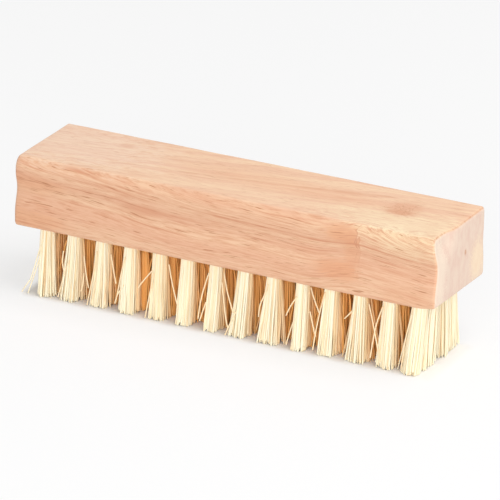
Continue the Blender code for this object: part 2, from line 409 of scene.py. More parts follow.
def new_tree(name, values):
    """A Geometry Nodes tree with an input for each value, what adds its nodes, and its inputs by name."""
    tree = bpy.data.node_groups.new(name, "GeometryNodeTree")
    tree.interface.new_socket("Geometry", in_out="INPUT", socket_type="NodeSocketGeometry")
    for label, value in values.items():
        socket = next(socket for kind, socket in SOCKETS if isinstance(value, kind))
        tree.interface.new_socket(label, in_out="INPUT", socket_type=socket)
    tree.interface.new_socket("Geometry", in_out="OUTPUT", socket_type="NodeSocketGeometry")
    put = partial(add, tree)
    return tree, put, put("NodeGroupInput", out=None).outputs


def finish_tree(put, size, geometry):
    """The last nodes of a tree: its instances realised, its material set, and its output."""
    realised = put("GeometryNodeRealizeInstances", geometry)
    finished = put("GeometryNodeSetMaterial", {"Geometry": realised, "Material": size["Material"]})
    put("NodeGroupOutput", finished)


def stored(put, geometry, **values):
    """The geometry, with each value stored on its points by name."""
    for name, value in values.items():
        geometry = put(STORE, {"Geometry": geometry, "Name": name, "Value": value})
    return geometry


def apply_tree(guide, tree, values):
    """Run the tree on the guide with the given inputs, and keep the result as the guide's own mesh."""
    modifier = guide.modifiers.new(tree.name, "NODES")
    modifier.node_group = tree
    for item in tree.interface.items_tree:
        if item.in_out == "INPUT" and item.name in values:
            modifier[item.identifier] = values[item.name]
    depsgraph = bpy.context.evaluated_depsgraph_get()
    mesh = bpy.data.meshes.new_from_object(guide.evaluated_get(depsgraph), depsgraph=depsgraph)
    if not mesh.polygons:
        raise RuntimeError(f"{guide.name} came out empty")
    mesh.materials.clear()
    mesh.materials.append(values["Material"])
    guide.modifiers.clear()
    guide.data = mesh
    mesh.name = guide.name


def quarter_turn(steps):
    """(1 - cosine, sine) at each step of a quarter turn, from 0 to the right angle."""
    angles = [math.pi / 2 * step / steps for step in range(steps + 1)]
    return [(1 - math.cos(angle), math.sin(angle)) for angle in angles]


def side_outline(block, cove_depth, shoulder_drop, shoulder_run):
    """One side of the block's section as (half width, height above the underside), from its foot to the top.

    Points close beside the two edges, and five across the top, hold the flat faces flat.
    """
    beside_edge, across_top = 0.0003, (0.010, 0.008, 0.006, 0.004, 0.002)
    flank = block.width / 2
    half = [(flank - block.lower_edge - beside_edge, 0.0)]
    for rise, out in quarter_turn(EDGE_STEPS):
        half.append((flank - block.lower_edge * (1 - out), block.lower_edge * rise))
    for step in range(COVE_STEPS + 1):
        t = step / COVE_STEPS
        scoop = cove_depth * math.sin(math.pi * t**block.cove_skew) ** 2
        height = block.cove_start + t * (block.cove_top - block.cove_start)
        half.append((flank - t * block.lip_step - scoop, height))
    for inset, rise in quarter_turn(SHOULDER_STEPS):
        height = block.height - shoulder_drop + shoulder_drop * rise
        half.append((flank - block.lip_step - shoulder_run * inset, height))
    half.append((half[-1][0] - beside_edge, block.height))
    return half + [(width, block.height) for width in across_top]


def block_tree(values):
    """The section carried along the block, its ends eased, its sides slightly uneven, its holes drilled."""
    # The heights from the block's middle where unevenness starts and where it is full, and its fineness
    still_even, fully_uneven, waves = -0.0085, -0.006, 70.0
    # Over what length a worn corner fades out, and how near the drill's axis a point counts as on it
    wear_fade, near_axis = 0.0048, 0.0001
    tree, put, size = new_tree("Moulded and drilled block", values)
    path = put("GeometryNodeMeshToCurve", size["Geometry"])
    section = put("GeometryNodeObjectInfo", size["Section"], out="Geometry")
    outline = put("GeometryNodeMeshToCurve", section)
    swept = put(SWEEP, {"Curve": path, "Profile Curve": outline, "Scale": 1.0, "Fill Caps": True})

    # Draw in each section by its inset, the same distance in width and in height
    inset = put(READ, "inset")
    position = put("GeometryNodeInputPosition")
    centre = put(COMBINE, {"Z": put("ADD", size["Underside"], size["Half Height"])})
    from_centre = put("VECTOR SUBTRACT", position, centre)
    in_width = put("DIVIDE", inset, size["Half Width"])
    in_height = put("DIVIDE", inset, size["Half Height"])
    drawn_in = put("VECTOR MULTIPLY", from_centre, put(COMBINE, {"Y": in_width, "Z": in_height}))
    offset = put("VECTOR SCALE", drawn_in, -1.0)
    eased = put(MOVE, {"Geometry": swept, "Offset": offset})

    # Sanding leaves the sides a little out of true, but not the flat underside that the holes go into
    height = put(SEPARATE, from_centre, out="Z")
    above = put(RANGE, height, still_even, fully_uneven)
    noise = put(NOISE, {"Vector": position, "Scale": waves, "Detail": 2.0}, out="Color")
    wander = put("VECTOR SUBTRACT", noise, (0.5, 0.5, 0.5))
    amount = put("MULTIPLY", put("MULTIPLY", above, size["Unevenness"]), FULL_SWING)
    offset = put("VECTOR SCALE", wander, amount)
    worn = put(MOVE, {"Geometry": eased, "Offset": offset})

    # Two corners of one end have been sanded: the upper one back, the lower one up, each within its reach
    for corner, wear, way, reach in (
        ("Worn Corner", "Wear", (-1, 0, 0), 0.0068),
        ("Worn Foot", "Foot Wear", (0, 0, 1), 0.0052),
    ):
        far = put("VECTOR DISTANCE", position, size[corner])
        depth = put("MULTIPLY", put(RANGE, far, reach, reach - wear_fade, **SMOOTH), size[wear])
        worn = put(MOVE, {"Geometry": worn, "Offset": put("VECTOR SCALE", way, depth)})

    # The drill: a cylinder whose upper cap is drawn up to the point
    depth = put("MULTIPLY", size["Hole Depth"], 2.0)
    cylinder = {"Vertices": DRILL_SIDES, "Radius": size["Hole Radius"], "Depth": depth}
    drill = put("GeometryNodeMeshCylinder", cylinder, fill_type="TRIANGLE_FAN")
    radius = put("VECTOR LENGTH", put("VECTOR MULTIPLY", position, (1, 1, 0)))
    on_axis = put("FunctionNodeCompare", radius, near_axis, operation="LESS_THAN")
    point = put(COMBINE, {"Z": size["Drill Point"]})
    pointed = put(MOVE, {"Geometry": drill, "Selection": on_axis, "Offset": point})
    mouths = put("GeometryNodeObjectInfo", size["Hole Mouths"], out="Geometry")
    drills = put("GeometryNodeInstanceOnPoints", {"Points": mouths, "Instance": pointed})
    cutters = put("GeometryNodeRealizeInstances", drills)
    parts = {"Mesh 1": worn, "Mesh 2": cutters}
    drilled = put("GeometryNodeMeshBoolean", parts, operation="DIFFERENCE", solver="EXACT")

    shaded = put("GeometryNodeSetShadeSmooth", drilled)
    bend = put("GeometryNodeInputMeshEdgeAngle", out="Unsigned Angle")
    sharp = put("FunctionNodeCompare", bend, CREASE, operation="GREATER_THAN")
    creases = {"Geometry": shaded, "Selection": sharp, "Shade Smooth": False}
    finish_tree(put, size, put("GeometryNodeSetShadeSmooth", creases, domain="EDGE"))
    return tree


def tuft_tree(values):
    """Fibres folded over an anchor: a row of points each, up one leg, round the fold, down the other."""
    # The power that sets the legs closer towards the rim of the bundle, how much further out a corner of the
    # tips goes, and the power that keeps short tips few
    towards_rim, corner_reach, few_short = 0.28, 1.3, 3.0
    # The least and most of its way out that a leg goes, and the fineness of the clumps
    least_way, most_way, clump_fineness = 0.75, 1.15, 900.0
    # How far in from the outermost fibres the flanks of the tufts start to count, and where they do in full
    flanks_start, flanks_full = 0.003, 0.006
    # Where along x a stray stands free and where it is crowded, how deep it then counts in mm for the painted
    # warm light, and its tone
    free_stray, crowded_stray, stray_depth, stray_tone = 0.054, 0.051, 1.9, 0.4
    tree, put, size = new_tree("Folded fibre tufts", values)
    tuft = put(READ, "tuft", data_type="INT")
    mouths = put("GeometryNodeMeshToPoints", size["Geometry"])
    index = put("GeometryNodeInputIndex")
    numbered = put(STORE, {"Geometry": mouths, "Name": "tuft", "Value": index}, data_type="INT")
    copies = "GeometryNodeDuplicateElements"
    fibres = put(copies, {"Geometry": numbered, "Amount": size["Fibres"]}, domain="POINT")
    steps = put(copies, {"Geometry": fibres, "Amount": 2 * LEG_STEPS + 1}, domain="POINT")
    fibre, step = (points.node.outputs["Duplicate Index"] for points in (fibres, steps))

    # Which fibre and which of its two legs a point is on, and how far along
    whole = put("MULTIPLY_ADD", tuft, size["Fibres"], fibre)
    along = put("SUBTRACT", step, float(LEG_STEPS))
    side, far = put("SIGN", along), put("ABSOLUTE", along)
    leg = put("MULTIPLY_ADD", whole, 2.0, put("GREATER_THAN", along, 0.5))

    def drawn(draw, kind="FLOAT", **limits):
        """A random value for each leg. Draws with other numbers have nothing to do with it."""
        inputs = {"ID": leg, "Seed": put("ADD", size["Seed"], float(draw)), **limits}
        return put("FunctionNodeRandomValue", inputs, data_type=kind)

    # Place of the leg in the bundle: over the half disc on its side of the anchor, closer towards the rim
    share = put("DIVIDE", put("ADD", fibre, 0.5), size["Fibres"])
    distance = put("MULTIPLY", put("POWER", share, towards_rim), size["Bundle Radius"])
    turn = put("MULTIPLY_ADD", tuft, TUFT_TURN, put("MULTIPLY", fibre, GOLDEN_TURN))
    turn = put("MULTIPLY", put("FRACT", turn), math.pi)
    along_anchor = put("MULTIPLY", put("COSINE", turn), distance)
    off_anchor = put("MULTIPLY", put("SINE", turn), distance)
    signed = put("MULTIPLY", off_anchor, side)

    # The fold: a quarter turn on each side of the anchor
    fold = put("MULTIPLY", put("DIVIDE", far, float(FOLD_STEPS), use_clamp=True), math.pi / 2)
    rise = put("MULTIPLY_ADD", off_anchor, put("COSINE", fold), size["Fold Height"])
    in_hole, root = (
        put(
            "ShaderNodeVectorRotate",
            {"Vector": put(COMBINE, along_anchor, off), "Angle": size["Anchor Turn"]},
            rotation_type="Z_AXIS",
        )
        for off in (put("MULTIPLY", signed, put("SINE", fold)), signed)
    )

    # The leg's fall from the fold to its trimmed tip, some tips a little short
    short = put("MULTIPLY", put("POWER", drawn(0), few_short), size["Raggedness"])
    reach = put("SUBTRACT", put("ADD", size["Length"], size["Fold Height"]), short)
    down = put("SUBTRACT", far, float(FOLD_STEPS))
    down = put("DIVIDE", down, float(LEG_STEPS - FOLD_STEPS), use_clamp=True)
    height = put("SUBTRACT", rise, put("MULTIPLY", down, reach))
    out_of_hole = put("MULTIPLY", put("DIVIDE", height, size["Length"]), -1.0, use_clamp=True)

    # Where the tip goes: out by the spread. The tips fill a rounded square, and those on the inner side of
    # an outer tuft spread into the space behind it
    spread, facing, lean = (
        put(READ, name, data_type="FLOAT_VECTOR") for name in ("spread", "facing", "lean")
    )
    from_axis = put("VECTOR SCALE", root, put("DIVIDE", 1.0, size["Bundle Radius"]))
    reach_out = put("VECTOR LENGTH", from_axis)
    sides = put(SEPARATE, put("VECTOR ABSOLUTE", from_axis), out=None).outputs
    square = put("DIVIDE", reach_out, put("MAXIMUM", sides["X"], sides["Y"]))
    square = put(RANGE, square, 1.0, 1.414, 1.0, corner_reach)
    facing_out = put("VECTOR DOT_PRODUCT", from_axis, facing)
    wider = put("MULTIPLY", put(RANGE, facing_out, 0.2, -0.8, 1.0, size["Crowding"]), square)
    tip = put("VECTOR SCALE", put("VECTOR MULTIPLY", from_axis, spread), wider)
    tip = put("VECTOR SUBTRACT", tip, root)

    # No two legs go equally far, and a few go astray along the block
    tip = put("VECTOR SCALE", tip, drawn(1, Min=least_way, Max=most_way))
    astray = drawn(2, "BOOLEAN", Probability=size["Strays"])
    tip = put("VECTOR MULTIPLY", tip, put(COMBINE, put("ADD", astray, 1.0), 1.0))

    # Neighbouring legs draw together in clumps, and the whole tuft leans
    apart = put("MULTIPLY_ADD", tuft, CLUMP_STEP, size["Seed"])
    clumps = {"Vector": root, "W": apart, "Scale": clump_fineness, "Detail": 1.0}
    clump = put("VECTOR SUBTRACT", put(NOISE, clumps, noise_dimensions="4D", out="Color"), (0.5, 0.5, 0.5))
    for scale in (size["Clumping"], FULL_SWING):
        clump = put("VECTOR SCALE", clump, scale)
    tip = put("VECTOR ADD", put("VECTOR ADD", tip, clump), lean)
    opened = put("POWER", out_of_hole, size["Flare"])
    opening = put("VECTOR SCALE", tip, opened)

    # Each leg bows a little out of its line
    belly = put("MULTIPLY", put("SINE", put("MULTIPLY", out_of_hole, math.pi)), size["Wave"])
    bow = put("VECTOR SCALE", drawn(3, "FLOAT_VECTOR", Min=(-1, -1, 0), Max=(1, 1, 0)), belly)
    flat = put("VECTOR ADD", put("VECTOR ADD", in_hole, opening), bow)
    offset = put("VECTOR ADD", put("VECTOR MULTIPLY", flat, (1, 1, 0)), put(COMBINE, {"Z": height}))

    # What the finish needs to know: how far down the fibre, the tone of this leg, how much it faces the next
    # tuft, how deep it is in the brush (in mm) and how deep in its own bundle. All but the tone also mark
    # where the finish paints warm light and shade on the strands
    position = put("GeometryNodeInputPosition")
    planted = put("VECTOR ABSOLUTE", put("VECTOR ADD", position, root))
    inward = put(SEPARATE, put("VECTOR SUBTRACT", size["Outermost"], planted), out=None).outputs
    kept = stored(
        put,
        steps,
        down=out_of_hole,
        tone=drawn(4),
        flank=put("MULTIPLY", sides["X"], put(RANGE, inward["X"], flanks_start, flanks_full)),
        inward=put("MULTIPLY", put("MINIMUM", inward["X"], inward["Y"]), 1000.0),
        core=put("SUBTRACT", 1.0, reach_out),
    )
    placed = put(MOVE, {"Geometry": kept, "Offset": offset})
    lines = put("GeometryNodePointsToCurves", {"Points": placed, "Curve Group ID": whole, "Weight": step})

    # Single fibres that stand clear of their tufts, with painted warm light between the tufts, as on the
    # strands there, and none at the ends
    strays = put("GeometryNodeObjectInfo", size["Stray Lines"], out="Geometry")
    strays = put("GeometryNodeMeshToCurve", strays)
    strays = put("GeometryNodeCurveSplineType", {"Curve": strays}, spline_type="CATMULL_ROM")
    strays = put("GeometryNodeResampleCurve", {"Curve": strays, "Count": STRAY_STEPS})
    from_middle = put(SEPARATE, put("VECTOR ABSOLUTE", position), out="X")
    depth = put(RANGE, from_middle, free_stray, crowded_stray, 0.0, stray_depth)
    strays = stored(put, strays, tone=stray_tone, inward=depth)
    lines = put("GeometryNodeJoinGeometry", lines)
    tree.links.new(strays, lines.node.inputs[0])

    # Fibres differ in thickness, and the trimmed tips are a little finer
    finer = put(RANGE, put(READ, "down"), 0.4, 1.0, 1.0, 0.7)
    stout = put(RANGE, put(READ, "tone"), 0.0, 1.0, 0.75, 1.3)
    girth = put("MULTIPLY", finer, stout)
    circle = {"Resolution": FIBRE_SIDES, "Radius": size["Fibre Radius"]}
    ring = put("GeometryNodeCurvePrimitiveCircle", circle)
    skin = put(SWEEP, {"Curve": lines, "Profile Curve": ring, "Scale": girth, "Fill Caps": True})
    finish_tree(put, size, put("GeometryNodeSetShadeSmooth", skin))
    return tree


def anchor_tree(values):
    """Flat wire, cut to length and set across each hole under the fold of its tuft."""
    tree, put, size = new_tree("Wire anchors", values)
    start, end = (
        put(COMBINE, {"X": put("MULTIPLY", size["Reach"], way), "Z": size["Lift"]}) for way in (-1.0, 1.0)
    )
    wire = put("GeometryNodeCurvePrimitiveLine", {"Start": start, "End": end})
    section = {"Width": size["Wire Thickness"], "Height": size["Wire Height"]}
    flat = put("GeometryNodeCurvePrimitiveQuadrilateral", section)
    rolled = put("GeometryNodeFilletCurve", {"Curve": flat, "Count": 2, "Radius": 0.0001}, mode="POLY")
    staple = put(SWEEP, {"Curve": wire, "Profile Curve": rolled, "Scale": 1.0, "Fill Caps": True})
    turned = put(COMBINE, {"Z": size["Turn"]})
    copies = {"Points": size["Geometry"], "Instance": staple, "Rotation": turned}
    finish_tree(put, size, put("GeometryNodeInstanceOnPoints", copies))
    return tree


def emptied(owner):
    """What adds a node to the tree of a material or a world, which is emptied first."""
    owner.use_nodes = True
    owner.node_tree.nodes.clear()
    return partial(add, owner.node_tree)


def grain(put, place, fineness, detail, roughness=0.5, distortion=0.0):
    """Noise drawn out along the wood, with a fineness for each direction of the place in mm."""
    drawn_out = put("VECTOR MULTIPLY", place, fineness)
    look = {"Scale": 1.0, "Detail": detail, "Roughness": roughness, "Distortion": distortion}
    return put(NOISE, {"Vector": drawn_out, **look})


def soft_spot(put, place, ragged, centre, radii):
    """How far each point is inside an ellipsoid, 1 well inside and 0 outside, with a ragged edge."""
    offset = put("VECTOR DIVIDE", put("VECTOR SUBTRACT", place, centre), radii)
    far = put("ADD", put("VECTOR LENGTH", offset), ragged)
    return put(RANGE, far, 1.1, 0.4, **SMOOTH)


def tinted(put, wood, block, place, ragged, zones, within=1.0):
    """The wood with each zone tinted by its strength, and only within a part of the block."""
    for tint, centre, radii, strength in zones:
        spot = put("MULTIPLY", soft_spot(put, place, ragged, centre, radii), strength)
        spot = put("MULTIPLY", spot, within)
        wood = put(MIX, spot, wood, getattr(block, tint), **COLOURS)
    return wood


def layer_streak(put, x, layer, line, half_width, start, end):
    """A dark line that keeps to one growth layer from start to end, fading at both."""
    thinnest, fade = 0.05, 4
    off = put("ABSOLUTE", put("SUBTRACT", layer, line))
    near = put(RANGE, off, half_width, thinnest, **SMOOTH)
    from_middle = put("ABSOLUTE", put("SUBTRACT", x, (start + end) / 2))
    reach = (end - start) / 2
    return put("MULTIPLY", near, put(RANGE, from_middle, reach, reach - fade, **SMOOTH))


def traced(put, x, points):
    """A curve through the points (x, offset), both in mm, read at x."""
    along = put(RANGE, x, -GRAIN_LENGTH / 2, GRAIN_LENGTH / 2)
    curve = put("ShaderNodeFloatCurve", {"Value": along}, out=None)
    spots = [(at / GRAIN_LENGTH + 0.5, offset / GRAIN_RISE + 0.5) for at, offset in points]
    line = curve.mapping.curves[0].points
    line[0].location, line[-1].location = spots[0], spots[-1]
    for spot in spots[1:-1]:
        line.new(*spot)
    curve.mapping.update()
    return put("MULTIPLY_ADD", curve.outputs[0], GRAIN_RISE, -GRAIN_RISE / 2)


def hardwood(block):
    """Pale tropical hardwood, planed, moulded and sanded, with no varnish.

    The eye gets a satin face with long pinkish and cream bands and fine dark dashes, deeper in tone on the
    moulded sides than on the top, partly from the grain cut across and partly as painted shade. A small knot
    shows on the top, and a second one bends the grain on the front. The ends are paler and mottled.
    """
    # In mm: where the front begins and is fully reached, and the heights of its low and its high grain
    front_begins, front_reached, low_at, high_at = -8.5, -13.0, 25.0, 35.0
    # How far the growth layers fall for each mm along the block, and rise for each mm towards the front
    fall, tilt = -0.09, -0.49
    # How far the layers and the edges of the zones wander each way
    swing = 1.2
    material = bpy.data.materials.new("hardwood_sanded")
    put = emptied(material)
    # Everything below is in millimetres
    place = put("VECTOR SCALE", put("ShaderNodeTexCoord", out="Object"), 1000.0)
    x, y, z = put(SEPARATE, place, out=None).outputs
    facing = put(SEPARATE, put("ShaderNodeNewGeometry", out="Normal"), out=None).outputs
    upward = put(RANGE, facing["Z"], 0.8, 1.0, **SMOOTH)
    front = put(RANGE, y, front_begins, front_reached, **SMOOTH)
    behind = put("SUBTRACT", 1.0, front)

    # The lie of the grain, high and low on the front: downhill to the right, up against the knot, then steep
    high, low = traced(put, x, HIGH_GRAIN), traced(put, x, LOW_GRAIN)
    bend = put(MIX, put(RANGE, z, low_at, high_at), low, high)
    bend = put(MIX, front, put("MULTIPLY", x, fall), bend)
    wander = put("MULTIPLY_ADD", grain(put, place, (0.03, 0.08, 0.08), 2.0), 2 * swing, -swing)

    # Growth layers lie nearly flat, tilted to the front: they show wide on the top and close on the sides
    layer = put("MULTIPLY_ADD", y, tilt, put("ADD", put("SUBTRACT", z, bend), wander))
    layers = put(COMBINE, x, y, layer)
    bands = put(RANGE, grain(put, layers, (0.014, 0.03, 0.5), 3.0, 0.6), 0.36, 0.64, **SMOOTH)
    lines = put(RANGE, grain(put, layers, (0.05, 0.2, 2.0), 4.0, 0.7), 0.48, 0.72, **SMOOTH)
    # Fibre bundles, 0.2 mm across, drawn at twice that so that they show
    bundles = grain(put, layers, (0.2, 1.4, 3.2), 4.0, 0.7)
    # Vessels cut open lengthways: 0.1 to 0.2 mm across in the wood, drawn 0.3 mm across and 3 mm long
    vessels = put(RANGE, grain(put, layers, (0.17, 2.2, 3.8), 1.0), 0.64, 0.74, **SMOOTH)

    # Colour: bands, then zones of other tone
    ragged = put("MULTIPLY_ADD", bundles, 2 * swing, -swing)
    wood = put(MIX, bands, block.cream, block.pink, **COLOURS)
    wood = tinted(put, wood, block, place, ragged, WOOD_ZONES)

    # The moulding cut through a knot on the front: it left a wavering seam, with ruddy wood up to it
    swirl = grain(put, place, (0.6, 0.36, 0.3), 2.0, distortion=1.0)
    seam = put("SUBTRACT", put("MULTIPLY_ADD", swirl, 5.0, x), SEAM_PLACE)
    left_of_seam = put(RANGE, seam, 0.6, -0.6, **SMOOTH)
    wood = tinted(put, wood, block, place, ragged, SEAM_ZONES, left_of_seam)

    # The lines along the layers, deeper on the sides
    deeper = put(RANGE, upward, 0.0, 1.0, 0.95, 0.5)
    coarse = put("MULTIPLY", put(RANGE, bundles, 0.45, 0.72, 0.0, 0.9), deeper)
    dark = put("MAXIMUM", put("MULTIPLY", lines, deeper), coarse)
    broken = put(NOISE, {"Vector": place, "Scale": 0.13, "Detail": 2.0})
    broken = put(RANGE, broken, 0.35, 0.6, 0.35, 1.0)
    for on_front, line, half_width, start, end, strength in WOOD_STREAKS:
        streak = layer_streak(put, x, layer, line, half_width, start, end)
        for share in (front if on_front else behind, broken, strength):
            streak = put("MULTIPLY", streak, share)
        dark = put("MAXIMUM", dark, streak)

    # Crossing lines inside the knot on the top, and the seam on the front
    curl = put(RANGE, put("ABSOLUTE", put("SUBTRACT", swirl, 0.5)), 0.05, 0.0, **SMOOTH)
    curl = put("MULTIPLY", curl, soft_spot(put, place, ragged, *TOP_KNOT))
    vessels = put("MAXIMUM", vessels, curl)
    seam = put(RANGE, put("ABSOLUTE", seam), 0.5, 0.05, **SMOOTH)
    for share in (soft_spot(put, place, ragged, *FRONT_SEAM), broken):
        seam = put("MULTIPLY", seam, share)
    dark = put("MAXIMUM", dark, seam)
    wood = put(MIX, dark, wood, block.streak, **COLOURS)
    open_vessels = put("MULTIPLY", vessels, put(RANGE, upward, 0.0, 1.0, 0.85, 0.4))
    wood = put(MIX, open_vessels, wood, block.pore, **COLOURS)

    # The sides are cut across the layers, which deepens their tone. Part of this darkening is painted shade:
    # the faces that do not face up are made darker, as the top catches more light
    sideways = put("SUBTRACT", 1.0, upward)
    wood = put(MIX, sideways, wood, block.side_tone_and_shade, blend_type="MULTIPLY", **COLOURS)

    # The ends show the fibres end on: paler and mottled, with traces of the layers
    mottle = put(RANGE, grain(put, place, (0.3, 0.5, 0.22), 5.0, 0.65), 0.38, 0.66, **SMOOTH)
    ends = put(MIX, mottle, block.end_grain, block.end_flush, **COLOURS)
    ends = tinted(put, ends, block, place, ragged, END_ZONES)
    endways = put(RANGE, put("ABSOLUTE", facing["X"]), 0.65, 0.95, 0.0, 0.93, **SMOOTH)
    wood = put(MIX, endways, wood, ends, **COLOURS)

    # Open vessels lie a little deeper than the bundles between them
    relief = put("MULTIPLY_ADD", vessels, -1.0, bundles)
    bump = put("ShaderNodeBump", {"Strength": 0.35, "Distance": 0.00006, "Height": relief})
    gloss = put(RANGE, bundles, 0.3, 0.7, 0.5, 0.62)
    face = {"Base Color": wood, "Roughness": gloss, "Normal": bump, "IOR": 1.5}
    put("ShaderNodeOutputMaterial", {"Surface": put("ShaderNodeBsdfPrincipled", face)})
    return material


def tampico(tufts):
    """Tampico, the stiff leaf fibre of the lechuguilla agave, washed and trimmed but not dyed.

    The eye gets cream strands of slightly different tone, with a low sheen. The warm amber where they crowd,
    deep in the brush and on the flanks of the tufts, is painted light: the warm shade of light passed through
    other strands.
    """
    material = bpy.data.materials.new("tampico_fibre_trimmed")
    put = emptied(material)
    tone, down, flank, inward, core = (
        put("ShaderNodeAttribute", attribute_name=name, out="Fac")
        for name in ("tone", "down", "flank", "inward", "core")
    )
    # Painted light: the flanks of a tuft face the next one, and the warm light through it is painted on them
    # as colour, less so towards the tips
    beside = put(RANGE, flank, 0.72, 1.05, 0.0, 0.7, **SMOOTH)
    beside = put("MULTIPLY", beside, put(RANGE, down, 0.0, 1.0, 1.0, 0.4))
    # Painted light and shade: light reaches the strands deep in the brush only through the others, which
    # turns it warm, and that is painted on them as the glow colour. So it is under the skin of each bundle,
    # but not at the trimmed face
    deep = put(RANGE, inward, 0.9, 3.9, **SMOOTH)
    under = put(RANGE, core, 0.08, 0.45, 0.0, 0.75, **SMOOTH)
    under = put("MULTIPLY", under, put(RANGE, down, 1.0, 0.8))
    strand = tufts.straw
    for share, tint in (
        (put(RANGE, tone, 0.25, 0.85), tufts.pale),
        (put(RANGE, tone, 0.25, 0.0, 0.0, 0.5), tufts.amber),
        (beside, tufts.flank),
        (deep, tufts.painted_glow),
        (under, tufts.painted_glow),
    ):
        strand = put(MIX, share, strand, tint, **COLOURS)
    shader = put("ShaderNodeBsdfPrincipled", {"Base Color": strand, "Roughness": 0.45, "IOR": 1.5})
    put("ShaderNodeOutputMaterial", {"Surface": shader})
    return material


def anchor_metal(anchors):
    """Flat wire of brassed steel, drawn and rolled: a dull yellow metal, its roughness varied finely."""
    material = bpy.data.materials.new("brassed_steel_wire")
    put = emptied(material)
    place = put("ShaderNodeTexCoord", out="Object")
    lines = put(NOISE, {"Vector": place, "Scale": 4000.0, "Detail": 2.0})
    rough = put(RANGE, lines, 0.0, 1.0, 0.3, 0.5)
    face = {"Base Color": anchors.metal, "Metallic": 1.0, "Roughness": rough}
    put("ShaderNodeOutputMaterial", {"Surface": put("ShaderNodeBsdfPrincipled", face)})
    return material


def seen_directly(put):
    """1 for what the camera sees, also mirrored or through glass, and 0 for what lights the brush."""
    ray = put("ShaderNodeLightPath", out=None).outputs
    seen = put("MAXIMUM", ray["Is Camera Ray"], ray["Is Glossy Ray"])
    return put("MAXIMUM", seen, ray["Is Transmission Ray"])


def floor_paint(studio):
    """Matt pale grey paint that the camera sees as part white backdrop, except close round the brush."""
    paint = bpy.data.materials.new("studio_floor_paint")
    put = emptied(paint)
    edge = 0.003
    matt = put("ShaderNodeBsdfDiffuse", {"Color": studio.floor})
    seen = put("MULTIPLY", seen_directly(put), studio.backdrop)
    place = put("VECTOR ABSOLUTE", put("ShaderNodeTexCoord", out="Object"))
    beside = put("VECTOR SUBTRACT", place, (block_high.x - edge, block_high.y - edge, 0))
    clear = put("VECTOR LENGTH", put("VECTOR MAXIMUM", beside, (0, 0, 0)))
    seen = put("MULTIPLY", seen, put(RANGE, clear, 0.0, edge, **SMOOTH))
    white = put("ShaderNodeEmission", {"Color": WHITE, "Strength": 1.0})
    put("ShaderNodeOutputMaterial", {"Surface": put("ShaderNodeMixShader", seen, matt, white)})
    return paint


def studio_light(studio):
    """An even sky that lights the brush, and that the camera sees as a white backdrop."""
    world = bpy.data.worlds.new("studio_light")
    put = emptied(world)
    light, white = (
        put("ShaderNodeBackground", {"Color": WHITE, "Strength": power}) for power in (studio.sky, 1.0)
    )
    sky = put("ShaderNodeMixShader", seen_directly(put), light, white)
    put("ShaderNodeOutputWorld", {"Surface": sky})
    return world


def stations(block):
    """Where the section stands along the block, and how far it is drawn in there to ease the ends."""
    # Rings inside the rim of each end face, each a hair behind the last, let its worn corner bend
    insets, hair = [0.0078, 0.0062, 0.0048, 0.0036, 0.0026, 0.0018, 0.0011], 0.000002
    places = [-block.length / 2 - hair * (len(insets) - i) for i in range(len(insets))]
    for rise, out in quarter_turn(EDGE_STEPS):
        places.append(-block.length / 2 + block.end_edge * rise)
        insets.append(block.end_edge * (1 - out))
    spans = math.ceil((block.length - 2 * block.end_edge) / SECTION_SPACING)
    start, end = places[-1], -places[-1]
    inner = [start + (end - start) * step / spans for step in range(1, spans)]
    places = places + inner + [-place for place in reversed(places)]
    return places, insets + [0.0] * len(inner) + list(reversed(insets))


def hang_softbox(name, power, place):
    """A square lamp, turned to the brush."""
    lamp = bpy.data.lights.new(name, "AREA")
    lamp.shape, lamp.size, lamp.size_y, lamp.energy = "RECTANGLE", LAMP_SIZE, LAMP_SIZE, power
    softbox = bpy.data.objects.new(name, lamp)
    softbox.location = place
    softbox.rotation_euler = (-softbox.location).to_track_quat("-Z", "Y").to_euler()
    bpy.context.scene.collection.objects.link(softbox)


class MakeBlock(bpy.types.Operator):
    """Make the hardwood block with its finger coves and tuft holes"""

    bl_idname = "nail_brush.make_block"
    bl_label = "Make Block"

    def execute(self, context):
        # The middle of the worn upper corner: how far forward of the block's middle, and below its top
        corner_forward, corner_drop = 0.0095, 0.0005
        block = context.scene.nail_brush_block
        back = side_outline(block, block.back_cove, block.back_drop, block.back_run)
        front = side_outline(block, block.front_cove, block.front_drop, block.front_run)
        # On a path that runs along X, a profile's X points to the front and its Y down
        outline = [(width, -height, 0) for width, height in front]
        outline += [(-width, -height, 0) for width, height in reversed(back)]
        ring = [(i, (i + 1) % len(outline)) for i in range(len(outline))]
        section = guide_object("block_section", outline, ring)

        places, insets = stations(block)
        path = [(place, 0, mouth_height) for place in places]
        piece = guide_object("wooden_block", path, [(i, i + 1) for i in range(len(path) - 1)])
        piece.data.attributes.new("inset", "FLOAT", "POINT").data.foreach_set("value", insets)

        mouths = guide_object("hole_mouths", every_mouth())
        values = {
            "Section": section,
            "Hole Mouths": mouths,
            "Half Width": block.width / 2,
            "Half Height": block.height / 2,
            "Underside": mouth_height,
            "Unevenness": block.unevenness,
            "Worn Corner": (block.length / 2, -corner_forward, block_high.z - corner_drop),
            "Wear": block.wear,
            "Worn Foot": (block.length / 2, -block.width / 2, mouth_height),
            "Foot Wear": block.foot_wear,
            "Hole Radius": block.hole_diameter / 2,
            "Hole Depth": block.hole_depth,
            "Drill Point": block.hole_diameter / 2 / math.tan(POINT_HALF_ANGLE),
            "Material": hardwood(block),
        }
        apply_tree(piece, block_tree(values), values)
        for guide in (section, mouths):
            bpy.data.objects.remove(guide)
        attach(piece, "root")
        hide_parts("block")
        return {"FINISHED"}


